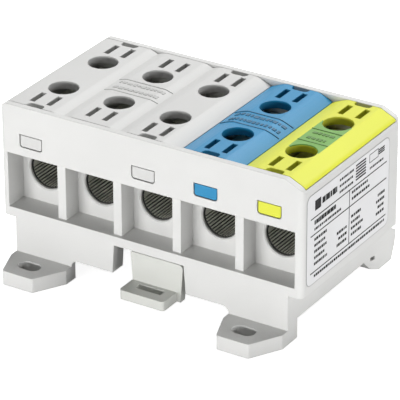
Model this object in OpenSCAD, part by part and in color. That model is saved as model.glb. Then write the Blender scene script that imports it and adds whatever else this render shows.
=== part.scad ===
// Five-pole power distribution block: an insulating housing for a 35 mm rail or for two
// screws, five through terminals with two clamp screws each, and three clipped covers.
// X runs along the row of poles, Y from the front face to the rear, Z is up.
// The origin is on the mounting surface, under the middle of the whole block.

/* [Poles] */
// Centre distance of the poles under the three-pole cover
pole_pitch = 18.5; // [17:0.5:24]
// Centre distance to each pole that has a cover of its own
wide_pitch = 20; // [17:0.5:26]
// From the centre of an outer pole to the end of the housing
end_margin = 10.5; // [9.5:0.5:14]

/* [Housing] */
// Depth from the front face to the rear face
body_d = 53.5; // [44:0.5:70]
// Height of the housing's underside above the mounting surface
base_h = 15.1; // [13:0.1:19]
// Thickness of the floor under the terminals
floor_t = 2.9; // [2:0.1:4]
// Height of each conductor window
window_h = 17; // [15:0.5:22]
// Height of the housing above the conductor windows
brow_h = 15; // [13:0.5:20]
// Thickness of the front and rear walls
face_t = 1.9; // [1.4:0.1:2.6]
// Thickness of the end walls
end_t = 2.5; // [1.8:0.1:3.5]
// Thickness of the walls between the poles
divider_t = 2.7; // [1.6:0.1:3.5]
// How far those walls stand back from the front and rear faces
divider_setback = 1.2; // [0:0.1:1.6]
// Depth of the conductor windows
window_depth = 7.3; // [6:0.1:9]
// Thickness of the guide walls that hold the conductor entries
guide_t = 1; // [0.8:0.1:2]
// Radius of the upright outer corners
corner_r = 2; // [0.5:0.1:3]

/* [Feet] */
// Width of each front leg
leg_w = 18.7; // [14:0.1:22]
// Thickness of the front legs and of the skirt between them
leg_t = 5.2; // [4:0.1:7]
// How far the legs and the base stand in from the ends of the housing
base_inset = 4.5; // [2:0.1:7]
// Half the gap in the skirt that the latch stands in, at its top
latch_gap = 11.4; // [10:0.1:14]
// Length of the mounting ears in front of the face
ear_len = 12; // [9:0.1:16]
// Thickness of the mounting ears
ear_t = 4.4; // [3:0.1:6]
// Width of a mounting ear at its front edge
ear_front_w = 10.8; // [9:0.1:16]
// How far each ear's middle is shifted from its leg's middle, towards the left end
ear_shift = 0.9; // [0:0.1:2]
// Width of the mounting slots
slot_w = 4.6; // [4:0.1:6]
// Length of the mounting slots, end to end
slot_len = 7.1; // [6:0.1:9]
// Distance of the mounting slots from the front face
slot_out = 5.9; // [4:0.1:8]

/* [Rail] */
// Width of the mounting rail
rail_w = 35; // [35:0.5:36]
// Thickness of the rail's flanges
rail_flange = 1; // [1:0.1:1.5]
// Height of the rail's top above the mounting surface
rail_z = 6; // [5.5:0.1:7]
// How far the rail's middle lies behind the housing's middle
rail_shift = 3.75; // [0:0.05:5]
// Width of each rear rail hook
hook_w = 8; // [6:0.5:12]
// How far the rear hooks reach behind the rail's rear edge
hook_back = 12.5; // [8:0.1:16]

/* [Latch] */
// How far the latch's middle lies right of the housing's middle
latch_x = 2.6; // [0:0.1:2.6]
// Width of the latch's front plate at its top
latch_w = 17; // [14:0.1:17.2]
// Thickness of the front plate and of the tongue
latch_t = 2.4; // [1.8:0.1:3]
// How far the foot stands out in front of the plate
foot_len = 6.9; // [5:0.1:9]
// Thickness of the foot
foot_t = 2.9; // [2:0.1:4]
// Travel of the latch
latch_travel = 4; // [3:0.1:4.5]
// Width of the tongue that slides under the floor
tongue_w = 12; // [9:0.1:13]

/* [Terminals] */
// Diameter of the conductor bore
bore_d = 10.6; // [8:0.1:12]
// Height of the bore's axis above the housing's floor
bore_rise = 10; // [9:0.1:11]
// Height of the terminal bodies
terminal_h = 25.8; // [22:0.1:26.5]
// Diameter of the clamp screws
screw_d = 8; // [6:0.1:9]
// Length of the clamp screws
screw_len = 11.8; // [9:0.1:13]
// Distance of the screw rows from the front and rear faces
screw_inset = 16.8; // [15:0.1:19]
// Width across the flats of the screws' sockets
socket_af = 4; // [3:0.1:5]

/* [Covers] */
// Thickness of the covers
cover_t = 1.8; // [1.2:0.1:2.2]
// Depth of the valleys between the poles of the three-pole cover
valley = 0.8; // [0:0.1:1.5]
// Depth of the valleys where two covers meet
joint_valley = 1.85; // [0.5:0.05:2.2]
// Width of the probe slots in the covers
probe_w = 1.75; // [1:0.05:2.5]
// Width of the covers' snap arms
snap_w = 7; // [5:0.1:9]
// Height of the snap tabs
snap_h = 3.4; // [2.5:0.1:4.5]

/* [Hidden] */
COVERS = ["cover_grey", "cover_blue", "cover_yellow"];
TERMINALS = [for (i = [1:5]) str("terminal_", i)];
SCREWS = [for (row = ["front", "rear"]) for (i = [1:5]) str("screw_", row, "_", i)];
$fn = 48;
tiny = 0.01;          // depth by which a cut passes the face that it opens
through = 1;          // longer overshoot of a cut through a whole wall

// clearances
seam = 0.2;           // between a cover and the housing
slide = 0.3;          // around the latch and at the sides of a terminal body
thread_gap = 0.05;    // around a clamp screw in its tapped hole
access_gap = 0.4;     // around a clamp screw in the cover's access hole
entry_gap = 0.4;      // around the terminal's bore in the guide wall
tab_gap = 0.3;        // around a snap tab in its window
latch_seam = 0.15;    // between the latch and the housing's underside

// overall sizes and levels
span = 2 * pole_pitch + 2 * wide_pitch;
body_w = span + 2 * end_margin;
floor_z = base_h + floor_t;
lintel_z = floor_z + window_h;
top_z = lintel_z + brow_h;
base_w = body_w - 2 * base_inset;
hook_out = body_d / 2 + rail_shift + rail_w / 2 + hook_back - body_d;
front_y = (ear_len - body_d - hook_out) / 2;

// places along the row
pole_x = [for (i = [0:4]) -span / 2 + min(i, 2) * pole_pitch + max(i - 2, 0) * wide_pitch];
wall_x = concat([-body_w / 2 + end_t - divider_t / 2],
                [for (i = [0:3]) (pole_x[i] + pole_x[i + 1]) / 2],
                [body_w / 2 - end_t + divider_t / 2]);
snap_poles = [0, 2, 3, 4];

// terminals and screws, in the housing's own depth
room = min(pole_pitch - divider_t, wide_pitch - divider_t, 2 * (end_margin - end_t));
terminal_w = room - 2 * slide;
terminal_y = window_depth + guide_t + slide;
terminal_l = body_d - 2 * terminal_y;
bore_z = floor_z + bore_rise;
terminal_top = floor_z + terminal_h;
rib_step = 9;         // angle from one groove of the ribbed bore to the next
rib_reach = 81;       // angle to the last groove, each way from the bottom
rib_depth = 0.35;
rib_half = 0.28;
screw_z = bore_z + bore_d / 2 + 0.3;
screw_y = [screw_inset, body_d - screw_inset];
screw_travel = 6.5;

// covers
access_d = screw_d + 2 * access_gap;
collar_t = 1.2;
collar_h = 2.4;
probe_y = 5;
probe_x = 2.75;
probe_l = screw_inset - access_d / 2 - collar_t - probe_y;
arm_t = 2.8;
tab_inset = 0.15;     // by which a snap tab lies behind the housing's face
snap_z = lintel_z + 2.9;
notch_w = 5.3;
notch_d = 2;          // depth of a release notch towards the block's middle
notch_h = 7;          // its depth downwards
notch_r = 1.2;
left_r = 2.8;         // radius of the left end's upper edge
right_r = 2.6;        // radius of the right end's upper edge
right_run = 5.5;      // width of the right end's sloping shoulder
right_slope = 25;     // its angle
side_drop = 2.9;      // from the covers' top down to the end walls' top
valley_w = 3.1;
joint_valley_w = 5;
valley_bend = 1.3;    // how convex the valleys' sides are; 1 is straight
cover_y = face_t + seam;
inner_top = top_z - joint_valley - cover_t - slide;

// base, rail and latch
rail_y = body_d / 2 + rail_shift - rail_w / 2;
rail_end = rail_y + rail_w;
skirt_z = 6.4;        // height of the skirt's lower edge
skirt_r = 2;          // fillet between the skirt and a leg
gap_draft = 0.6;      // by which the latch's gap widens downwards, per side
wall_t = 2.2;
rib_t = 1.6;
groove_h = rail_flange + 0.6;
hook_lead = 6;        // how far the hooks' lips reach in front of the groove's end
hook_skin = 1.2;      // wall that closes the groove at the hook's outer side
latch_top = base_h - latch_seam;
leg_face_t = face_t;  // thickness of a leg's face below the skirt
ear_shoulder = 2.7;   // full-width part of an ear, in front of its leg
ear_r = 1;            // radius of an ear's front corners
foot_z = 3.3;
plate_taper = 0.8;    // by which the plate narrows downwards, per side
foot_w = 14.5;
foot_shift = 0.75;    // how far the foot's middle lies left of the plate's
pocket_w = 8.5;       // blade pocket in the foot
pocket_d = 2.5;
tongue_z = latch_top - latch_t;
riser_y = rail_y - slide - 2.8;
nose_len = 2.1;
nose_top = rail_z - rail_flange - slide;
nose_h = 2.1;
post_w = 3.2;
post_d = 2.5;
post_y = rail_y + 5.3;
spring_r = 1.6;
spring_wire = 0.5;
spring_turns = 6;
spring_l = 8.8;
spring_z = base_h - seam - spring_r;
peg_r = 0.75;
peg_l = 1.4;
well_w = 4.4;         // width of the tongue's window for the post and the spring
well_l = post_d + slide + 2 * seam + spring_l;
guide_y = rail_y + 0.8;
guide_len = post_y + well_l - guide_y;

/* ---------- shapes that repeat ---------- */

// a profile drawn in X and Z, extruded from y0 to y1
module along_y(y0, y1) {
    translate([0, y1, 0]) rotate([90, 0, 0]) linear_extrude(y1 - y0) children();
}

// a profile drawn in Y and Z, extruded from x0 to x1
module along_x(x0, x1) {
    translate([x0, 0, 0]) rotate([90, 0, 90]) linear_extrude(x1 - x0) children();
}

// a box from its low corner to its high corner
module box(low, high) {
    translate(low) cube(high - low);
}

// the same thing at the front and, turned about, at the rear
module both_faces() {
    children();
    translate([0, body_d, 0]) mirror([0, 1, 0]) children();
}

// the housing's depth starts at its front face
module placed() {
    translate([0, front_y, 0]) children();
}

// points of an arc about a centre
function arc(centre, r, from, to, steps = 6) =
    [for (i = [0:steps]) let (a = from + (to - from) * i / steps)
        centre + r * [cos(a), sin(a)]];

// an end's upper edge, from the flat top outwards, t inside the outer surface
function end_edge(r, run, slope, t) =
    let (centre = [-r, top_z - (r + (run - r) * sin(slope)) / cos(slope)])
    concat([[-run - t * tan(slope / 2), top_z - t]], arc(centre, r - t, 90 - slope, 0));

function left_edge(t) = [for (p = end_edge(left_r, left_r, 0, t)) [-body_w / 2 - p[0], p[1]]];
function right_edge(t) =
    [for (p = end_edge(right_r, right_run, right_slope, t)) [body_w / 2 + p[0], p[1]]];

// one side of a valley, from the flat top down to its bottom at x
function valley_side(x, width, depth, side, t, steps = 4) =
    [for (i = [0:steps]) let (k = i / steps)
        [x + side * width * (1 - k), top_z - t - depth * pow(k, valley_bend)]];

function reversed(p) = [for (i = [len(p) - 1:-1:0]) p[i]];

// a whole valley inside one cover
function full_valley(x, t) =
    concat(valley_side(x, valley_w, valley, -1, t),
           reversed(valley_side(x, valley_w, valley, 1, t)));

/* ---------- housing ---------- */

// outline of the housing's ends and flat top, as seen from the front
module face_profile() {
    polygon(concat([[-body_w / 2, base_h]], reversed(left_edge(0)), right_edge(0),
                   [[body_w / 2, base_h]]));
}

// block with round upright corners
module rounded_block() {
    x = body_w / 2 - corner_r;
    translate([-x, 0, 0]) cube([2 * x, body_d, top_z]);
    translate([-body_w / 2, corner_r, 0]) cube([body_w, body_d - 2 * corner_r, top_z]);
    for (sx = [-1, 1], y = [corner_r, body_d - corner_r])
        translate([sx * x, y, 0]) cylinder(r = corner_r, h = top_z);
}

// floor, end walls, front wall and rear wall
module shell() {
    difference() {
        intersection() {
            along_y(0, body_d) face_profile();
            rounded_block();
        }
        box([-body_w / 2 + end_t, face_t, floor_z],
            [body_w / 2 - end_t, body_d - face_t, top_z + through]);
        box([-body_w, face_t, top_z - side_drop], [body_w, body_d - face_t, top_z + through]);
    }
}

// walls between the poles
module dividers() {
    for (i = [1:4])
        box([wall_x[i] - divider_t / 2, divider_setback, floor_z - tiny],
            [wall_x[i] + divider_t / 2, body_d - divider_setback, inner_top]);
}

// guide wall with the conductor entries, and the ceiling over the windows
module guide_wall() {
    x = body_w / 2 - end_t + tiny;
    box([-x, window_depth, floor_z - tiny], [x, window_depth + guide_t, inner_top]);
    box([-x, face_t - tiny, lintel_z], [x, window_depth + tiny, lintel_z + 1.5]);
}

module conductor_entries() {
    r = bore_d / 2 + entry_gap;
    chamfer = 0.4;
    for (x = pole_x) translate([x, window_depth, bore_z]) rotate([-90, 0, 0]) {
        translate([0, 0, -tiny]) cylinder(r = r, h = guide_t + 2 * tiny);
        translate([0, 0, -tiny]) cylinder(r1 = r + chamfer, r2 = r, h = chamfer);
    }
}

module windows() {
    box([wall_x[0] + divider_t / 2, -through, floor_z],
        [wall_x[5] - divider_t / 2, divider_setback, lintel_z]);
    for (i = [0:4])
        box([wall_x[i] + divider_t / 2, 0, floor_z],
            [wall_x[i + 1] - divider_t / 2, window_depth, lintel_z]);
}

// outline of a snap tab with round lower corners, grown to give its opening in the wall
module tab_profile(grow) {
    r = 0.7 + grow;
    w = snap_w / 2 + grow;
    low = snap_z - grow;
    translate([-w, low + r]) square([2 * w, snap_h + 2 * grow - r]);
    translate([r - w, low]) square([2 * (w - r), r + tiny]);
    for (sx = [-1, 1]) translate([sx * (w - r), low + r]) circle(r);
}

// openings for the covers' snap tabs
module snap_windows() {
    for (i = snap_poles) translate([pole_x[i], 0, 0])
        along_y(-through, face_t + tiny) tab_profile(tab_gap);
}

// pads that centre a terminal body where its chamber is wider than the body
module centring_pads() {
    for (i = [0:4], side = [0, 1]) {
        wall = wall_x[i + side] + (0.5 - side) * divider_t;
        gap = abs(pole_x[i] - wall) - terminal_w / 2;
        edge = wall - (0.5 - side) * 2 * tiny;
        if (gap > 2 * slide)
            for (y = screw_y)
                box([min(edge, wall + (1 - 2 * side) * (gap - slide)), y - 1, floor_z - tiny],
                    [max(edge, wall + (1 - 2 * side) * (gap - slide)), y + 1,
                     terminal_top - 4]);
    }
}

// one front leg with its half of the skirt, drawn for the right side
module leg_profile() {
    inner = base_w / 2 - leg_w;
    polygon(concat([[base_w / 2, 0], [base_w / 2, base_h + tiny], [latch_gap, base_h + tiny],
                    [latch_gap + gap_draft, skirt_z]],
                   arc([inner - skirt_r, skirt_z - skirt_r], skirt_r, 90, 0),
                   [[inner, 0]]));
}

module front_legs() {
    pocket_x = latch_gap + gap_draft + wall_t;
    pocket_end = base_w / 2 - wall_t;
    n = 3;
    step = (pocket_end - pocket_x + rib_t) / n;
    for (side = [0, 1]) mirror([side, 0, 0]) difference() {
        along_y(0, leg_t) leg_profile();
        for (i = [0:n - 1])
            box([pocket_x + i * step, wall_t, skirt_z + wall_t],
                [pocket_x + (i + 1) * step - rib_t, leg_t + tiny, base_h - rib_t]);
        box([base_w / 2 - leg_w - skirt_r - tiny, leg_face_t, -tiny],
            [pocket_end, leg_t + tiny, skirt_z]);
    }
}

// plan of a mounting ear, about the middle of its leg
module ear_plan() {
    flank = ear_len - ear_shoulder;
    half = ear_front_w / 2;
    left = 180 + atan((leg_w / 2 - ear_shift - half) / flank);
    right = 360 - atan((leg_w / 2 + ear_shift - half) / flank);
    y = ear_r - ear_len;
    polygon(concat([[-leg_w / 2, tiny], [-leg_w / 2, -ear_shoulder]],
                   arc([ear_r - ear_shift - half, y], ear_r, left, 270),
                   arc([half - ear_r - ear_shift, y], ear_r, 270, right),
                   [[leg_w / 2, -ear_shoulder], [leg_w / 2, tiny]]));
}

module ears() {
    for (side = [-1, 1]) translate([side * (base_w - leg_w) / 2, 0, 0]) difference() {
        linear_extrude(ear_t) ear_plan();
        translate([-ear_shift, -slot_out, -through]) {
            reach = (slot_len - slot_w) / 2;
            h = ear_t + 2 * through;
            for (sx = [-1, 1]) translate([sx * reach, 0, 0]) cylinder(d = slot_w, h = h);
            translate([-reach, -slot_w / 2, 0]) cube([2 * reach, slot_w, h]);
        }
    }
}

// side view of a rear hook: lip, groove end, curved back
module hook_profile() {
    heel = rail_end + hook_back;
    front = rail_end - hook_lead;
    polygon(concat([[front, base_h + tiny], [front, rail_z], [front + 3.6, rail_z - 3.6],
                    [front + 9, 0], [heel - 2.4, 0], [heel - 0.6, 4.3]],
                   arc([heel - 1.5, rail_z + 1.7], 1.5, 0, 65),
                   [[min(body_d, heel - 4), rail_z + 6], [min(body_d, heel - 4), base_h + tiny]]));
}

module rear_hooks() {
    for (side = [0, 1]) mirror([side, 0, 0]) difference() {
        along_x(base_w / 2 - hook_w, base_w / 2) hook_profile();
        box([base_w / 2 - hook_w - tiny, rail_end - hook_lead - through, rail_z - groove_h],
            [base_w / 2 - hook_skin, rail_end + seam, rail_z]);
        along_x(base_w / 2 - hook_skin - tiny, base_w / 2 + through)
            polygon([[rail_end - 2.4, rail_z], [rail_end + seam, rail_z - 0.4],
                     [rail_end + seam, rail_z - groove_h], [rail_end - 2.2, rail_z - 1.1]]);
    }
}

// end walls, rear wall and the ribs that rest on the rail
module base_walls() {
    for (side = [0, 1]) mirror([side, 0, 0])
        box([base_w / 2 - wall_t, leg_t - tiny, rail_z],
            [base_w / 2, rail_end - hook_lead + tiny, base_h + tiny]);
    box([-base_w / 2, body_d - wall_t - corner_r, rail_z + 1.5],
        [base_w / 2, body_d - corner_r, base_h + tiny]);
    rib_x = [for (k = [1, 2]) latch_gap + k * (base_w / 2 - latch_gap) / 3];
    for (x = rib_x, side = [-1, 1])
        box([side * x - rib_t / 2, leg_t - tiny, rail_z],
            [side * x + rib_t / 2, body_d - corner_r, base_h + tiny]);
}

// one of the two rails that carry the latch's tongue
module latch_guides() {
    inner = tongue_w / 2 + slide;
    low = tongue_z - slide - 2;
    for (side = [0, 1]) translate([latch_x, 0, 0]) mirror([side, 0, 0]) {
        box([inner, guide_y, low], [inner + 1.7, guide_y + guide_len, base_h + tiny]);
        box([inner - 2.1, guide_y, low], [inner + tiny, guide_y + guide_len,
                                         tongue_z - slide]);
    }
}

module spring_post() {
    box([latch_x - post_w / 2, post_y, tongue_z - 1],
        [latch_x + post_w / 2, post_y + post_d, base_h + tiny]);
    translate([latch_x, post_y + post_d - tiny, spring_z]) rotate([-90, 0, 0])
        cylinder(r = peg_r, h = peg_l);
}

module housing() {
    color("gainsboro") placed() {
        difference() {
            union() {
                shell();
                dividers();
                both_faces() guide_wall();
                centring_pads();
            }
            both_faces() windows();
            both_faces() conductor_entries();
            both_faces() snap_windows();
        }
        front_legs();
        ears();
        rear_hooks();
        base_walls();
        latch_guides();
        spring_post();
    }
}

/* ---------- latch ---------- */

module latch_plate() {
    top = latch_w / 2;
    low = top - plate_taper;
    r = 1.3;
    small_r = 0.5;
    translate([latch_x, 0, 0]) along_y(0, latch_t)
        polygon(concat([[-low, foot_z], [low, foot_z]],
                       arc([top - r, latch_top - r], r, 0, 90),
                       arc([small_r - top, latch_top - small_r], small_r, 90, 180)));
}

// foot with a pocket for a screwdriver's blade
module latch_foot() {
    r = 1;
    middle = latch_x - foot_shift;
    difference() {
        translate([middle - foot_w / 2, 0, foot_z]) {
            translate([r, -foot_len, 0]) cube([foot_w - 2 * r, foot_len + tiny, foot_t]);
            translate([0, -foot_len + r, 0]) cube([foot_w, foot_len - r + tiny, foot_t]);
            for (x = [r, foot_w - r]) translate([x, -foot_len + r, 0])
                cylinder(r = r, h = foot_t);
        }
        translate([middle - pocket_w / 2, -1.2 - pocket_d, foot_z + 0.9])
            cube([pocket_w, pocket_d, foot_t]);
    }
}

// tongue, riser and nose that holds the rail's front edge
module latch_tongue() {
    x0 = latch_x - tongue_w / 2;
    x1 = latch_x + tongue_w / 2;
    well_y = post_y - slide;
    nose_z = nose_top - nose_h;
    back = riser_y + 2.8;
    difference() {
        box([x0, latch_t - tiny, tongue_z], [x1, well_y + well_l + 3, latch_top]);
        box([latch_x - well_w / 2, well_y, tongue_z - tiny],
            [latch_x + well_w / 2, well_y + well_l, latch_top + tiny]);
    }
    along_x(x0, x1)
        polygon([[riser_y, tongue_z + tiny], [riser_y, nose_z + 0.8], [riser_y + 0.8, nose_z],
                 [back + nose_len - 0.8, nose_z], [back + nose_len, nose_z + 0.8],
                 [back + nose_len, nose_top], [back, nose_top], [back, tongue_z + tiny]]);
    translate([latch_x, well_y + well_l + tiny, spring_z]) rotate([90, 0, 0])
        cylinder(r = peg_r, h = peg_l);
}

module din_latch() {
    color("lightgrey") placed() {
        latch_plate();
        latch_foot();
        latch_tongue();
    }
}

// coil spring between the post and the tongue
module latch_spring() {
    color("silver") placed()
        translate([latch_x, post_y + post_d + seam, spring_z]) rotate([-90, 0, 0])
            linear_extrude(spring_l, twist = 360 * spring_turns, slices = 16 * spring_turns,
                           $fn = 10)
                polygon([for (a = [0:36:324])
                    let (turn = spring_wire / 2 * sin(a) * 360 * spring_turns / spring_l)
                    (spring_r - spring_wire / 2 * (1 - cos(a))) * [cos(turn), sin(turn)]]);
}

/* ---------- terminals and screws ---------- */

// body extruded along the conductor, with a ribbed bore and two tapped holes
module terminal_body(i) {
    w = terminal_w / 2;
    foot_r = 2.5;
    shoulder = 1.5;
    groove_z = terminal_top - 6;
    color("silver") placed() translate([pole_x[i], 0, 0]) difference() {
        along_y(terminal_y, terminal_y + terminal_l) polygon(concat(
            arc([foot_r - w, floor_z + foot_r], foot_r, 180, 270),
            arc([w - foot_r, floor_z + foot_r], foot_r, 270, 360),
            [[w, groove_z - 1], [w - 0.6, groove_z - 0.5], [w - 0.6, groove_z + 0.5],
             [w, groove_z + 1], [w, terminal_top - shoulder], [w - shoulder, terminal_top],
             [shoulder - w, terminal_top], [-w, terminal_top - shoulder],
             [-w, groove_z + 1], [0.6 - w, groove_z + 0.5], [0.6 - w, groove_z - 0.5],
             [-w, groove_z - 1]]));
        terminal_bore();
        for (y = screw_y) tapped_hole(y);
    }
}

module terminal_bore() {
    r = bore_d / 2;
    translate([0, 0, bore_z]) {
        along_y(terminal_y - through, terminal_y + terminal_l + through) circle(r);
        for (a = [-rib_reach:rib_step:rib_reach]) rotate([0, a, 0])
            along_y(terminal_y - through, terminal_y + terminal_l + through)
                polygon([[-rib_half, 0.1 - r], [rib_half, 0.1 - r], [0, -r - rib_depth]]);
    }
}

module tapped_hole(y) {
    r = screw_d / 2 + thread_gap;
    translate([0, y, bore_z]) cylinder(r = r, h = terminal_h);
    translate([0, y, terminal_top - 0.5]) cylinder(r1 = r, r2 = r + 0.5, h = 0.5 + tiny);
}

// set screw with a hexagon socket and a blunt point
module clamp_screw(i, row) {
    r = screw_d / 2;
    edge = 0.4;
    point = 1.2;
    color("dimgray") placed() translate([pole_x[i], screw_y[row], screw_z]) difference() {
        union() {
            cylinder(r1 = r - point, r2 = r, h = point);
            translate([0, 0, point]) cylinder(r = r, h = screw_len - point - edge);
            translate([0, 0, screw_len - edge]) cylinder(r1 = r, r2 = r - edge, h = edge);
        }
        translate([0, 0, screw_len - 4.5]) cylinder(d = socket_af / cos(30), h = 5, $fn = 6);
    }
}

/* ---------- covers ---------- */

// plate and end skirts between two lines of points, t apart
module cover_plate(outer, inner) {
    along_y(cover_y, body_d - cover_y) polygon(concat(outer, reversed(inner)));
}

module access_collar(i) {
    for (y = screw_y) translate([pole_x[i], y, top_z - collar_h])
        cylinder(d = access_d + 2 * collar_t, h = collar_h - cover_t / 2);
}

module access_hole(i) {
    for (y = screw_y) translate([pole_x[i], y, top_z - collar_h - tiny])
        cylinder(d = access_d, h = collar_h + 2 * tiny);
}

module probe_slots(i) {
    for (sx = [-1, 1])
        box([pole_x[i] + sx * probe_x - probe_w / 2, probe_y, top_z - collar_h],
            [pole_x[i] + sx * probe_x + probe_w / 2, probe_y + probe_l, top_z + tiny]);
}

// arm that hangs behind the housing's face, with a tab in the snap window
module snap_arm(i) {
    translate([pole_x[i], 0, 0]) {
        box([-snap_w / 2, cover_y, snap_z], [snap_w / 2, cover_y + arm_t, top_z - cover_t / 2]);
        along_y(tab_inset, cover_y + tiny) tab_profile(0);
    }
}

// pocket in the cover's edge, over a snap arm
module release_notch(i) {
    w = notch_w / 2;
    h = notch_h + tiny;
    translate([pole_x[i], cover_y, top_z - notch_h]) {
        box([-w, -tiny, 0], [w, notch_d - notch_r, h]);
        box([notch_r - w, -tiny, 0], [w - notch_r, notch_d, h]);
        for (sx = [-1, 1]) translate([sx * (w - notch_r), notch_d - notch_r, 0])
            cylinder(r = notch_r, h = h);
    }
}

// room for the tops of the end walls under the ends of the covers
module end_seats() {
    x = body_w / 2 - right_run;
    for (side = [0, 1]) mirror([side, 0, 0])
        box([x, 0, 0], [body_w, body_d, top_z - side_drop + seam]);
}

module cover(poles, outer, inner) {
    placed() difference() {
        union() {
            cover_plate(outer, inner);
            for (i = poles) {
                access_collar(i);
                if (len(search(i, snap_poles)) > 0) both_faces() snap_arm(i);
            }
        }
        for (i = poles) {
            access_hole(i);
            both_faces() probe_slots(i);
            if (len(search(i, snap_poles)) > 0) both_faces() release_notch(i);
        }
        end_seats();
    }
}

// the side of a joint valley that belongs to one cover
function joint_side(x, side, t) =
    valley_side(x + side * seam / 2, joint_valley_w, joint_valley, side, t);

function grey_line(t) =
    concat(reversed(left_edge(t)), full_valley(wall_x[1], t), full_valley(wall_x[2], t),
           joint_side(wall_x[3], -1, t));
function blue_line(t) =
    concat(reversed(joint_side(wall_x[3], 1, t)), joint_side(wall_x[4], -1, t));
function yellow_line(t) =
    concat(reversed(joint_side(wall_x[4], 1, t)), right_edge(t));

module cover_grey() {
    color("lightgray") cover([0, 1, 2], grey_line(0), grey_line(cover_t));
}

module cover_blue() {
    color("cornflowerblue") cover([3], blue_line(0), blue_line(cover_t));
}

module cover_yellow() {
    color("khaki") cover([4], yellow_line(0), yellow_line(cover_t));
}

housing();
din_latch();
latch_spring();
cover_grey();
cover_blue();
cover_yellow();
for (i = [0:4]) terminal_body(i);
for (i = [0:4], row = [0, 1])
    clamp_screw(i, row);
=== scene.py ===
import math
import random

import bmesh
import bpy
from mathutils import Matrix, Vector

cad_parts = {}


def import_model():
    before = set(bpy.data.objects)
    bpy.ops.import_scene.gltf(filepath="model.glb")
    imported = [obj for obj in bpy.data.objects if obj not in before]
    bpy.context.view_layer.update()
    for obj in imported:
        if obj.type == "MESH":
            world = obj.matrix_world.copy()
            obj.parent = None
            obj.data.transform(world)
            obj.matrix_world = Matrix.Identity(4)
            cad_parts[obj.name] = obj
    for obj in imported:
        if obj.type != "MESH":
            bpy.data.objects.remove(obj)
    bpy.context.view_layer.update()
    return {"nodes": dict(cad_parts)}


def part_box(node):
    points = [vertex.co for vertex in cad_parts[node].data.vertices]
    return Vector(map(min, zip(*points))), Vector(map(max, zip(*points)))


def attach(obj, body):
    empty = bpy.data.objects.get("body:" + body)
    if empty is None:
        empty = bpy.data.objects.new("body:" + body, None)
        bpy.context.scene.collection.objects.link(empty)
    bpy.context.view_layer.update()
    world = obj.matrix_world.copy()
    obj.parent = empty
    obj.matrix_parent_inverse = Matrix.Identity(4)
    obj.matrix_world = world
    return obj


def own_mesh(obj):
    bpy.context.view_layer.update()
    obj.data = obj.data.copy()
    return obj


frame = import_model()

# Shapes, and the features that a material follows, are in millimetres times MM.
# Everything else in the materials, the floor, the lights and the camera's place is in metres.
MM = 0.001

_, housing_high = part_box("housing")
TAB_INSET = 0.15  # by which the covers' front tabs lie behind the housing's front face
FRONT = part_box("cover_grey")[0].y / MM - TAB_INSET
POLES = [(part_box(f"terminal_{i}")[0].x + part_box(f"terminal_{i}")[1].x) / 2 / MM
         for i in range(1, 6)]
TOP = housing_high.z / MM
END = housing_high.x / MM

WHITE_GREY = (0.640, 0.640, 0.628)
COVER_GREY = (0.588, 0.588, 0.578)
LATCH_GREY = (0.595, 0.603, 0.570)
BLUE = (0.012, 0.222, 0.436)
YELLOW = (0.660, 0.685, 0.047)
GREEN = (0.150, 0.350, 0.064)
TERMINAL_GREY = (0.92, 0.92, 0.85)
SCREW_BLACK = (0.012, 0.012, 0.013)
SPRING_GREY = (0.50, 0.50, 0.52)
# dark grey of the sheet round the label: painted shade
RIM_SHADOW_GREY = (0.40, 0.40, 0.40)
FILM_GREYS = (0.69, 0.69, 0.70), (0.73, 0.73, 0.74)
INK_BLACKS = (0.002, 0.002, 0.002), (0.006, 0.006, 0.007)
FLOOR_GREYS = (0.88, 0.88, 0.88), (0.90, 0.90, 0.90)
WHITE = (1, 1, 1, 1)


# ---------- materials ----------

# depths of relief and radii of rounded edges
MOULD_GRAIN, MOULD_EDGE = 0.00003, 0.00028
SCRATCH_DEPTH, METAL_EDGE = 0.00002, 0.00015
THREAD_DEPTH, THREAD_EDGE = 0.0003, 0.0001
FILM_GRAIN, INK_GRAIN = 0.00002, 0.00001

# noise scales, from broad to fine: repeats per metre
CLOUDS, FLOW, RUBBING, SPECKS, GRAIN = 28.0, 90.0, 260.0, 1900.0, 5200.0
DULL_PATCHES, METAL_RUBBING = 170.0, 500.0

# noise scales of a metal's streaks along X, Y and Z: the lowest is the way they run
TURNED_ROUND_Z = (900.0, 900.0, 160.0)
DRAWN_ALONG_Y = (900.0, 60.0, 900.0)
EVEN = (900.0, 900.0, 900.0)

# features that a material follows, in millimetres
THREAD_PITCH = 1.25
BORE_HEIGHT = 28.0
BORE_REACH = 6.2  # radius round the bore's axis that takes in the bore's whole wall
GROOVES_ROUND = 40.0  # as many as would fit right round the bore
GROOVE_SHADE_BELOW_AXIS = 0.6  # the painted shade in the grooves starts this far below the bore's axis

PATCH_HALF_WIDTH = 4.7
PATCH_FROM, PATCH_TO = 17.8, 36.2  # behind the front face
PATCH_BAND = 0.4  # below the housing's top


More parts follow.
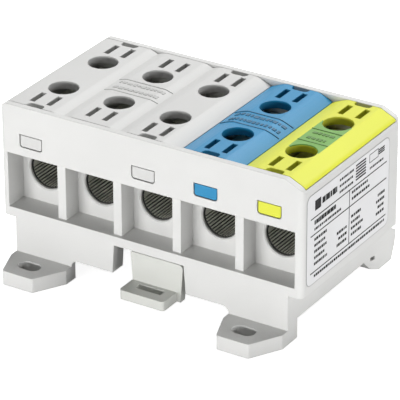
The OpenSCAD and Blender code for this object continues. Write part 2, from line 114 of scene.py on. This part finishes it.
class Finish:
    """A material whose nodes are added one by one, read in the object's own coordinates."""

    INPUTS = {"colour": "Base Color", "rough": "Roughness", "metal": "Metallic", "ior": "IOR",
              "specular": "Specular IOR Level", "coat": "Coat Weight",
              "coat_rough": "Coat Roughness"}

    def __init__(self, name):
        self.material = bpy.data.materials.new(name)
        self.material.use_nodes = True
        self.tree = self.material.node_tree
        self.shader = self.tree.nodes["Principled BSDF"]
        self.place = self.node("ShaderNodeTexCoord").outputs["Object"]

    def node(self, kind, **settings):
        made = self.tree.nodes.new(kind)
        for key, value in settings.items():
            setattr(made, key, value)
        return made

    def join(self, source, target):
        self.tree.links.new(source, target)

    def feed(self, slot, value):
        """Gives an input a number, a colour or the output of another node."""
        if isinstance(value, (int, float)):
            slot.default_value = value
        elif isinstance(value, tuple):
            slot.default_value = (*value[:3], 1.0)
        else:
            self.join(value, slot)

    def stretched(self, scale):
        mapping = self.node("ShaderNodeMapping")
        mapping.inputs["Scale"].default_value = scale
        self.join(self.place, mapping.inputs["Vector"])
        return mapping.outputs["Vector"]

    def noise(self, scale, detail=3.0, rough=0.5, place=None):
        made = self.node("ShaderNodeTexNoise")
        made.inputs["Scale"].default_value = scale
        made.inputs["Detail"].default_value = detail
        made.inputs["Roughness"].default_value = rough
        self.join(place or self.place, made.inputs["Vector"])
        return made.outputs["Fac"]

    def ramp(self, source, low=0.3, high=0.7, low_to=0.0, high_to=1.0):
        """Turns low to high, by default the usual reach of a noise, into low_to to high_to."""
        made = self.node("ShaderNodeMapRange")
        for key, value in (("From Min", low), ("From Max", high),
                           ("To Min", low_to), ("To Max", high_to)):
            made.inputs[key].default_value = value
        self.join(source, made.inputs["Value"])
        return made.outputs["Result"]

    def calc(self, operation, a, b=0.0):
        made = self.node("ShaderNodeMath", operation=operation)
        self.feed(made.inputs[0], a)
        self.feed(made.inputs[1], b)
        return made.outputs["Value"]

    def blend(self, amount, a, b):
        made = self.node("ShaderNodeMix", data_type="RGBA")
        self.join(amount, made.inputs["Factor"])
        self.feed(made.inputs["A"], a)
        self.feed(made.inputs["B"], b)
        return made.outputs["Result"]

    def axes(self, vector=None):
        """The X, Y and Z of a vector, by default of the place in the object."""
        made = self.node("ShaderNodeSeparateXYZ")
        self.join(vector or self.place, made.inputs["Vector"])
        return made.outputs

    def facing(self):
        return self.node("ShaderNodeNewGeometry").outputs["Normal"]

    def set(self, **values):
        for key, value in values.items():
            self.feed(self.shader.inputs[self.INPUTS[key]], value)

    def colour_so_far(self):
        return self.shader.inputs["Base Color"].links[0].from_socket

    def relief(self, height, distance, strength=1.0, edge=None):
        bump = self.node("ShaderNodeBump")
        bump.inputs["Strength"].default_value = strength
        bump.inputs["Distance"].default_value = distance
        self.join(height, bump.inputs["Height"])
        if edge is not None:
            self.join(edge, bump.inputs["Normal"])
        self.join(bump.outputs["Normal"], self.shader.inputs["Normal"])

    def rounded_edge(self, radius):
        made = self.node("ShaderNodeBevel", samples=6)
        made.inputs["Radius"].default_value = radius
        return made.outputs["Normal"]

    def edge_mask(self, rounded):
        """One along the edges that wear, none on the flats."""
        dot = self.node("ShaderNodeVectorMath", operation="DOT_PRODUCT")
        self.join(rounded, dot.inputs[0])
        self.join(self.facing(), dot.inputs[1])
        return self.ramp(dot.outputs["Value"], low=0.995, high=0.8)


def shade(colour, factor):
    return tuple(c * factor for c in colour)


def lighter(colour, factor, added=0.0):
    return tuple(min(1.0, c * factor + added) for c in colour)


def moulded(name, colour, rough=0.42):
    """Glass-filled plastic from a spark-eroded mould: fine grain, flow clouds, rubbed edges."""
    f = Finish(name)
    clouds = f.noise(CLOUDS, 3.0, 0.55)
    specks = f.noise(SPECKS, 2.0, 0.6)
    flow = f.noise(FLOW, 2.0, 0.5, f.stretched((1.0, 0.35, 1.6)))
    tone = f.blend(f.ramp(clouds, 0.32, 0.68), shade(colour, 0.965), shade(colour, 1.02))
    tone = f.blend(f.ramp(specks, 0.60, 0.74, high_to=0.16), tone, shade(colour, 0.86))
    rounded = f.rounded_edge(MOULD_EDGE)
    worn = f.calc("MULTIPLY", f.edge_mask(rounded),
                  f.ramp(f.noise(RUBBING), 0.42, 0.66, high_to=0.35))
    f.set(colour=f.blend(worn, tone, lighter(colour, 0.85, 0.14)), specular=0.42, ior=1.5)
    f.set(rough=f.calc("ADD", f.ramp(flow, low_to=rough - 0.05, high_to=rough + 0.07),
                       f.ramp(specks, low_to=-0.03, high_to=0.03)))
    height = f.calc("ADD", f.noise(GRAIN, 2.0, 0.55), f.calc("MULTIPLY", flow, 0.6))
    f.relief(height, MOULD_GRAIN, 0.6, rounded)
    return f


def printed_patch(f, low, high, colour):
    """Ink on the top of a moulding, between two corners in the plan."""
    place = f.axes()
    inside = f.calc("GREATER_THAN", place["Z"], (TOP - PATCH_BAND) * MM)
    for axis, start, end in zip(("X", "Y"), low, high):
        for limit, kind in ((start, "GREATER_THAN"), (end, "LESS_THAN")):
            inside = f.calc("MULTIPLY", inside, f.calc(kind, place[axis], limit * MM))
    ink = f.blend(f.ramp(f.noise(420.0), low=0.35), shade(colour, 0.93), shade(colour, 1.05))
    f.set(colour=f.blend(inside, f.colour_so_far(), ink))


def metal(name, colour, rough, streaks, dark=0.75, rubbed=0.3):
    """Drawn or turned metal with streaks along one way, dull patches and bright edges."""
    f = Finish(name)
    lines = f.noise(1.0, 2.0, 0.6, f.stretched(streaks))
    patches = f.noise(DULL_PATCHES, 4.0, 0.6)
    tone = f.blend(f.ramp(patches, 0.34, 0.66), shade(colour, dark), colour)
    tone = f.blend(f.ramp(lines, 0.35, 0.65, high_to=0.4), tone, shade(colour, 0.8))
    rounded = f.rounded_edge(METAL_EDGE)
    worn = f.calc("MULTIPLY", f.edge_mask(rounded),
                  f.ramp(f.noise(METAL_RUBBING), 0.35, 0.6, 0.05, rubbed))
    f.set(colour=f.blend(worn, tone, lighter(colour, 1.3)), metal=1.0)
    f.set(rough=f.calc("ADD", f.ramp(lines, low_to=rough - 0.05, high_to=rough + 0.08),
                       f.ramp(patches, low_to=-0.05, high_to=0.06)))
    f.relief(f.calc("ADD", lines, f.calc("MULTIPLY", patches, 0.3)), SCRATCH_DEPTH, 0.5, rounded)
    return f


def threaded(name, colour, pitch):
    """Blackened steel with rings at the thread's pitch on the faces that look sideways."""
    f = metal(name, colour, 0.36, TURNED_ROUND_Z, dark=0.6, rubbed=0.15)
    wave = f.calc("SINE", f.calc("MULTIPLY", f.axes()["Z"], 2 * math.pi / (pitch * MM)))
    side = f.calc("LESS_THAN", f.calc("ABSOLUTE", f.axes(f.facing())["Z"]), 0.3)
    f.relief(f.calc("MULTIPLY", wave, side), THREAD_DEPTH, 1.0, f.rounded_edge(THREAD_EDGE))
    return f


def grooved(name, pole):
    """A terminal: plated metal, with painted shade in the grooves of the bore's lower half, and
    end faces painted nearly black as a painted shadow of the gap round the bore's mouth.
    """
    f = metal(name, TERMINAL_GREY, 0.50, DRAWN_ALONG_Y, rubbed=0.0)
    place = f.axes()
    across = f.calc("SUBTRACT", place["X"], pole * MM)
    down = f.calc("SUBTRACT", BORE_HEIGHT * MM, place["Z"])
    turn = f.calc("MULTIPLY", f.calc("ARCTAN2", across, down), GROOVES_ROUND)
    groove_shade = f.ramp(f.calc("COSINE", turn), low=-0.2, high=0.7, high_to=0.92)
    square = f.calc("ADD", f.calc("MULTIPLY", across, across), f.calc("MULTIPLY", down, down))
    inside = f.calc("LESS_THAN", square, (BORE_REACH * MM) ** 2)
    below = f.calc("GREATER_THAN", down, GROOVE_SHADE_BELOW_AXIS * MM)
    lower = f.calc("MULTIPLY", inside, below)
    # painted shade: the grooves in the bore's lower half are coloured near black, for the shade
    # that falls in them
    shaded_grooves = f.blend(f.calc("MULTIPLY", groove_shade, lower), f.colour_so_far(),
                    shade(TERMINAL_GREY, 0.10))
    # painted shadow: faces looking forwards or backwards are coloured nearly black, for the shadow
    # in the gap round the bore's mouth
    end_shadow = f.calc("GREATER_THAN", f.calc("ABSOLUTE", f.axes(f.facing())["Y"]), 0.6)
    f.set(colour=f.blend(end_shadow, shaded_grooves, shade(TERMINAL_GREY, 0.06)))
    return f


housing_plastic = moulded("housing_plastic", WHITE_GREY)
grey_plastic = moulded("cover_grey_plastic", COVER_GREY)
blue_plastic = moulded("cover_blue_plastic", BLUE, rough=0.38)
yellow_plastic = moulded("cover_yellow_plastic", YELLOW, rough=0.38)
latch_plastic = moulded("latch_plastic", LATCH_GREY)
screw_steel = threaded("blackened_screw_steel", SCREW_BLACK, THREAD_PITCH)
spring_wire = metal("spring_wire", SPRING_GREY, 0.28, EVEN)

printed_patch(yellow_plastic, (POLES[4] - PATCH_HALF_WIDTH, FRONT + PATCH_FROM),
              (POLES[4] + PATCH_HALF_WIDTH, FRONT + PATCH_TO), GREEN)

NODE_FINISH = {"housing": housing_plastic, "din_latch": latch_plastic, "latch_spring": spring_wire,
               "cover_grey": grey_plastic, "cover_blue": blue_plastic,
               "cover_yellow": yellow_plastic}
for i, pole in enumerate(POLES, start=1):
    NODE_FINISH[f"terminal_{i}"] = grooved(f"tinned_aluminium_{i}", pole)
    NODE_FINISH[f"screw_front_{i}"] = screw_steel
    NODE_FINISH[f"screw_rear_{i}"] = screw_steel
for node, finish in NODE_FINISH.items():
    slots = frame["nodes"][node].data.materials
    if len(slots) == 0:
        slots.append(finish.material)
    for k in range(len(slots)):
        slots[k] = finish.material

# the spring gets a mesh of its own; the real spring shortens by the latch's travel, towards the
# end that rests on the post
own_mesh(frame["nodes"]["latch_spring"])


# ---------- pieces added to the CAD ----------

def piece(name, bm, finish, body):
    bmesh.ops.recalc_face_normals(bm, faces=bm.faces)
    mesh = bpy.data.meshes.new(name)
    bm.to_mesh(mesh)
    bm.free()
    mesh.materials.append(finish.material)
    made = bpy.data.objects.new(name, mesh)
    bpy.context.scene.collection.objects.link(made)
    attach(made, body)
    return made


def thicken(bm, faces, thick):
    """Grows flat faces upwards by a thickness and returns the new vertices."""
    grown = bmesh.ops.extrude_face_region(bm, geom=faces)
    lifted = [v for v in grown["geom"] if isinstance(v, bmesh.types.BMVert)]
    bmesh.ops.translate(bm, vec=(0, 0, thick * MM), verts=lifted)
    return lifted


def slab(bm, width, height, thick, place, corner=0.0):
    """A flat plate, with round corners where asked, lying in X and Y before it is placed."""
    corners = bmesh.ops.create_grid(bm, x_segments=1, y_segments=1, size=0.5)["verts"]
    bmesh.ops.scale(bm, vec=(width * MM, height * MM, 1.0), verts=corners)
    face = corners[0].link_faces[0]
    if corner:
        bmesh.ops.bevel(bm, geom=corners, offset=corner * MM, segments=5, profile=0.5,
                        affect="VERTICES", material=-1)
        face = bm.faces[:][-1] if not face.is_valid else face
    lifted = thicken(bm, [face], thick)
    whole = set(lifted) | {e.other_vert(v) for v in lifted for e in v.link_edges}
    bmesh.ops.transform(bm, matrix=place, verts=list(whole))


def on_end(y, z, out=0.0):
    """Places a plate on the right end: its X towards the rear, its Y upwards, facing out."""
    turn = Matrix(((0, 0, 1), (1, 0, 0), (0, 1, 0))).to_4x4()
    return Matrix.Translation(Vector((END + out, FRONT + y, z)) * MM) @ turn


# The label, in millimetres behind the front face and above the mounting surface.
LABEL_MIDDLE = 24.4, 31.3
LABEL_WIDTH, LABEL_HEIGHT, LABEL_CORNER = 44.8, 26.8, 2.0
RIM = 0.25
RIM_CORNER = 2.2
LABEL_GAP = 0.01  # between the end's face and the label
RIM_THICK, FILM_THICK, INK_THICK = 0.04, 0.08, 0.02
PRINT_LEFT, PRINT_RIGHT = 5.8, 44.6
TABLE_TOP, TABLE_STEP, TABLE_LETTER = 30.9, 1.85, 0.9


def label_bars():
    """The label's solid marks: from y, to y, the middle's z and the height."""
    for z in (37.6, 32.5, 21.2):        # rules across
        yield 3.8, 45.4, z, 0.34
    yield 24.55, 24.85, 29.4, 16.4      # rule between the table's halves
    yield 6.0, 9.2, 41.0, 3.0           # plain block
    for k in range(6):                  # block of plain lines
        yield 28.0, 33.6, 39.2 + 0.86 * k, 0.5
    for z in (43.6, 41.2):              # empty box
        yield 35.6, 40.4, z, 0.22
    for y in (35.6, 40.4):
        yield y - 0.11, y + 0.11, 42.4, 2.62
    for k in range(3):                  # short lines beside the box
        yield 40.7, 44.0, 41.8 + 0.6 * k, 0.42


def label_rows():
    """The label's lines of print: from y, to y, the middle's z, the height and the seed."""
    yield 9.9, 17.8, 41.0, 1.9, 5
    for k, z in enumerate((42.9, 41.1, 39.3)):
        yield 19.2, 26.8, z, 0.75, 11 + k
    yield 35.8, 43.4, 39.4, 0.7, 21
    yield PRINT_LEFT, 17.4, 36.0, 1.45, 31
    yield PRINT_LEFT, 20.4, 34.0, 0.8, 32
    yield 26.0, 34.8, 36.3, 0.85, 33
    yield 26.0, 35.8, 34.4, 0.85, 34
    for k in range(5):                  # the table: up to four columns a row
        z = TABLE_TOP - TABLE_STEP * k
        yield PRINT_LEFT, 12.8 - (k % 2), z, TABLE_LETTER, 41 + k
        if k > 1:
            yield 18.0 + 0.8 * (k % 2), 23.4, z, TABLE_LETTER, 51 + k
        if k > 0:
            yield 25.8, 32.6 - (k % 3), z, TABLE_LETTER, 61 + k
            yield 39.8 + 0.9 * (k % 2), PRINT_RIGHT, z, TABLE_LETTER, 71 + k
    yield PRINT_LEFT, PRINT_RIGHT, 19.9, 0.85, 81


def label_layer(name, finish, grow, thick, corner):
    bm = bmesh.new()
    slab(bm, LABEL_WIDTH + grow, LABEL_HEIGHT + grow, thick, on_end(*LABEL_MIDDLE, LABEL_GAP),
         corner=corner)
    piece(name, bm, finish, "block")


def label():
    """A film on the right end with a dark grey sheet showing round it as painted shade for a gap
    round the film, and lines of print that say nothing.
    """
    # painted shade: a dark grey sheet a little larger than the film shows as a dark line round the
    # label, for the shadow of a gap round it
    label_layer("label_shadow_rim", moulded("label_shadow_rim", RIM_SHADOW_GREY), 2 * RIM, RIM_THICK, RIM_CORNER)

    film = Finish("label_film")
    film.set(colour=film.blend(film.ramp(film.noise(60.0)), *FILM_GREYS),
             rough=film.ramp(film.noise(900.0), low_to=0.30, high_to=0.42),
             coat=0.2, coat_rough=0.25)
    film.relief(film.noise(300.0, 2.0), FILM_GRAIN, 0.4)
    label_layer("rating_label", film, 0.0, FILM_THICK, LABEL_CORNER)

    ink = Finish("label_ink")
    ink.set(colour=ink.blend(ink.ramp(ink.noise(1500.0)), *INK_BLACKS),
            rough=ink.ramp(ink.noise(700.0), low_to=0.5, high_to=0.7), specular=0.25)
    ink.relief(ink.noise(900.0), INK_GRAIN, 0.5)
    bm = bmesh.new()

    def bar(y0, y1, z, height):
        slab(bm, y1 - y0, height, INK_THICK, on_end((y0 + y1) / 2, z, LABEL_GAP + FILM_THICK))

    def words(y0, y1, z, height, seed):
        """A row of dashes of uneven length that stands for a line of print."""
        dice = random.Random(seed)
        y = y0
        while y < y1 - 0.4:
            end = min(y1, y + dice.uniform(0.35, 0.9) * (0.5 + height))
            bar(y, end, z, height * dice.uniform(0.85, 1.0))
            y = end + dice.uniform(0.14, 0.3)

    for mark in label_bars():
        bar(*mark)
    for row in label_rows():
        words(*row)
    piece("label_print", bm, ink, "block")


# A cover's top sinks towards a line along Y: half the valley's width, its depth and its bend.
VALLEY_REACH, VALLEY_DEPTH = 3.1, 0.8
JOINT_REACH, JOINT_DEPTH = 5.0, 1.85
VALLEY_BEND = 1.3
HALF_SEAM = 0.1  # half the gap between two covers

# The raised fields: distances behind the front face, and how far the ribs start below the top.
LINES_AT, LINE_WIDTH, LINE_RISE = (30.6, 22.8), 0.28, 0.16
ROWS_AT, DASH_RISE = (28.5, 25.1), 0.14
RIB_STEP = 0.7
SUNK = 0.1


def cover_level(valleys):
    """The height of a cover's top at x, with the valleys towards its neighbours."""
    def level(x):
        z = TOP
        for middle, reach, depth in valleys:
            z -= depth * max(0.0, 1 - abs(x - middle) / reach) ** VALLEY_BEND
        return z
    return level


def raised_field(name, pole, reach, level, colour):
    """Two rows of raised dashes between two raised lines, across one pole of a cover, coloured
    darker than the cover as painted shade for their edges.
    """
    bm = bmesh.new()
    left, right = pole - reach, pole + reach

    def rib(x0, x1, y, width, height):
        steps = max(1, math.ceil((x1 - x0) / RIB_STEP))
        strip = bmesh.ops.create_grid(bm, x_segments=steps, y_segments=1, size=0.5)["verts"]
        bmesh.ops.scale(bm, vec=((x1 - x0) * MM, width * MM, 1.0), verts=strip)
        bmesh.ops.translate(bm, vec=Vector(((x0 + x1) / 2, FRONT + y, 0)) * MM, verts=strip)
        for v in strip:
            v.co.z = (level(v.co.x / MM) - SUNK) * MM
        thicken(bm, list({face for v in strip for face in v.link_faces}), height + SUNK)

    for y in LINES_AT:
        rib(left, right, y, LINE_WIDTH, LINE_RISE)
    dice = random.Random(name)
    for y in ROWS_AT:
        x = left + 1.6
        while x < right - 1.8:
            end = min(right - 1.0, x + dice.uniform(0.5, 1.5))
            rib(x, end, y + dice.uniform(-0.1, 0.1), dice.uniform(1.0, 1.5), DASH_RISE)
            x = end + dice.uniform(0.35, 0.6)
    piece(name, bm, moulded(name + "_plastic", colour), "block")


label()
blue_low, blue_high = (p.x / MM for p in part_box("cover_blue"))
grey_valleys = [((POLES[k] + POLES[k + 1]) / 2, VALLEY_REACH, VALLEY_DEPTH) for k in (0, 1)]
blue_valleys = [(x, JOINT_REACH, JOINT_DEPTH)
                for x in (blue_low - HALF_SEAM, blue_high + HALF_SEAM)]
# painted shade: the ribs take a darker shade of their cover's or print's colour, for the shadows
# along their edges
raised_field("raised_field_grey", POLES[1], 8.9, cover_level(grey_valleys),
             shade(COVER_GREY, 0.78))
raised_field("raised_field_blue", POLES[3], 9.4, cover_level(blue_valleys),
             shade(BLUE, 0.45))
raised_field("raised_field_yellow", POLES[4], PATCH_HALF_WIDTH, cover_level(blue_valleys[1:]),
             shade(GREEN, 0.55))


# ---------- floor, light and camera ----------

FLOOR_DROP = 0.0002  # keeps the floor clear of the faces that stand on it
FLOOR_HALF = 3.0
FLOOR_GLOW = 0.88
AMBIENT, BACKDROP = 0.02, 1.0

# name, place, width, height and power in watts
SOFTBOXES = (("front_softbox", (-0.25, -1.1, 0.09), 0.9, 0.16, 10.2),
             ("right_softbox", (1.1, -0.1, 0.16), 0.7, 0.3, 6.3),
             ("top_softbox", (-0.05, 0.45, 0.95), 0.7, 0.7, 12.4),
             ("fill_softbox", (-0.10, -0.95, 0.70), 0.6, 0.4, 1.3))
AIM = Vector((0.0, 0.0, 0.025))

SENSOR, LENS = 36.0, 284.67
CAMERA_PLACE = (0.41932, -0.66757, 0.42472)
AZIMUTH, ELEVATION, ROLL = (math.radians(a) for a in (32.034, 27.076, 0.261))


def floor():
    """A pale sheet that glows only where the camera sees it, so it lights nothing."""
    f = Finish("pale_floor")
    f.set(colour=f.blend(f.ramp(f.noise(6.0)), *FLOOR_GREYS), rough=0.8, specular=0.1)
    seen = f.node("ShaderNodeLightPath").outputs["Is Camera Ray"]
    lamp = f.node("ShaderNodeEmission")
    lamp.inputs["Color"].default_value = WHITE
    f.join(f.calc("MULTIPLY", seen, FLOOR_GLOW), lamp.inputs["Strength"])
    both = f.node("ShaderNodeAddShader")
    f.join(f.shader.outputs["BSDF"], both.inputs[0])
    f.join(lamp.outputs["Emission"], both.inputs[1])
    f.join(both.outputs["Shader"], f.tree.nodes["Material Output"].inputs["Surface"])
    bm = bmesh.new()
    bmesh.ops.create_grid(bm, x_segments=1, y_segments=1, size=FLOOR_HALF)
    mesh = bpy.data.meshes.new("floor")
    bm.to_mesh(mesh)
    bm.free()
    mesh.materials.append(f.material)
    plane = bpy.data.objects.new("floor", mesh)
    plane.location.z = -FLOOR_DROP
    bpy.context.scene.collection.objects.link(plane)


def softbox(name, place, width, height, power):
    lamp = bpy.data.lights.new(name, "AREA")
    lamp.shape = "RECTANGLE"
    lamp.size, lamp.size_y = width, height
    lamp.energy = power
    made = bpy.data.objects.new(name, lamp)
    made.location = place
    made.rotation_euler = (AIM - Vector(place)).to_track_quat("-Z", "Y").to_euler()
    bpy.context.scene.collection.objects.link(made)


def world():
    """White to the camera and in reflections, and nearly dark as a light."""
    made = bpy.data.worlds.new("studio")
    bpy.context.scene.world = made
    made.use_nodes = True
    nodes, links = made.node_tree.nodes, made.node_tree.links
    ray = nodes.new("ShaderNodeLightPath")
    seen = ray.outputs["Is Camera Ray"]
    for kind in ("Is Glossy Ray", "Is Transmission Ray"):
        either = nodes.new("ShaderNodeMath")
        either.operation = "MAXIMUM"
        links.new(seen, either.inputs[0])
        links.new(ray.outputs[kind], either.inputs[1])
        seen = either.outputs[0]
    level = nodes.new("ShaderNodeMapRange")
    level.inputs["To Min"].default_value = AMBIENT
    level.inputs["To Max"].default_value = BACKDROP
    links.new(seen, level.inputs["Value"])
    back = nodes["Background"]
    back.inputs["Color"].default_value = WHITE
    links.new(level.outputs["Result"], back.inputs["Strength"])


def camera():
    data = bpy.data.cameras.new("camera")
    data.sensor_width = SENSOR
    data.lens = LENS
    data.clip_end = 20.0
    made = bpy.data.objects.new("camera", data)
    forward = Vector((-math.sin(AZIMUTH) * math.cos(ELEVATION),
                      math.cos(AZIMUTH) * math.cos(ELEVATION), -math.sin(ELEVATION)))
    right = Vector((math.cos(AZIMUTH), math.sin(AZIMUTH), 0.0))
    down = forward.cross(right)
    right, down = (math.cos(ROLL) * right + math.sin(ROLL) * down,
                   math.cos(ROLL) * down - math.sin(ROLL) * right)
    turn = Matrix((right, -down, -forward)).transposed().to_4x4()
    made.matrix_world = Matrix.Translation(CAMERA_PLACE) @ turn
    bpy.context.scene.collection.objects.link(made)
    bpy.context.scene.camera = made


floor()
world()
camera()
for settings in SOFTBOXES:
    softbox(*settings)
bpy.context.scene.view_settings.view_transform = "Standard"
